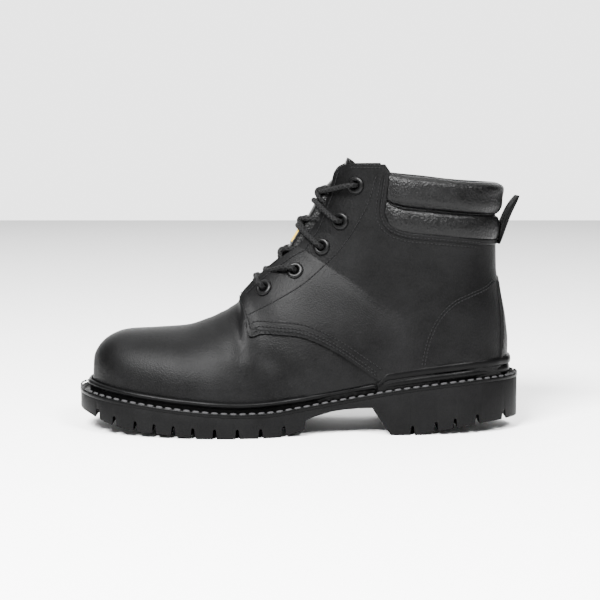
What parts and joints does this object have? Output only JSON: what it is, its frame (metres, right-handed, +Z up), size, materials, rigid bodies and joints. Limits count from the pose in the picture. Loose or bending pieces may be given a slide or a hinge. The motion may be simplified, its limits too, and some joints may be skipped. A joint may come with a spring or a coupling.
{
  "type": "lace-up work boot",
  "caption": "Ankle-high leather lace-up work boot with a padded collar, welted edge, open throat and a lugged rubber sole with a separate heel block.",
  "frame": {"origin": "on the floor, under the middle of the sole's bounding box", "axes": "+Z up, -X to the toe, +X to the heel, -Y to the outer side of the left foot"},
  "size_m": [0.307, 0.1094, 0.1865],
  "materials": {
    "sole_rubber": "matt black moulded rubber",
    "welt_rubber": "matt black moulded rubber",
    "insole_fabric": "dark felt",
    "leather": "smooth oiled black leather",
    "soft_leather": "soft grained black leather with a low shine",
    "webbing": "black woven strap",
    "enamel": "gloss black enamel",
    "lace": "black braided cord"
  },
  "bodies": {
    "root": {"outsole": "sole_rubber", "welt": "welt_rubber", "heel_rand": "welt_rubber", "insole": "insole_fabric", "upper": "leather", "tongue": "soft_leather", "collar_pad": "soft_leather", "pull_loop": "webbing", "eyelet_outer_1": "enamel", "eyelet_inner_1": "enamel", "eyelet_outer_2": "enamel", "eyelet_inner_2": "enamel", "eyelet_outer_3": "enamel", "eyelet_inner_3": "enamel", "eyelet_outer_4": "enamel", "eyelet_inner_4": "enamel", "eyelet_outer_5": "enamel", "eyelet_inner_5": "enamel", "lace_bar_1": "lace", "lace_bar_2": "lace", "lace_bar_3": "lace", "lace_bar_4": "lace", "lace_bar_5": "lace"}
  },
  "joints": []
}
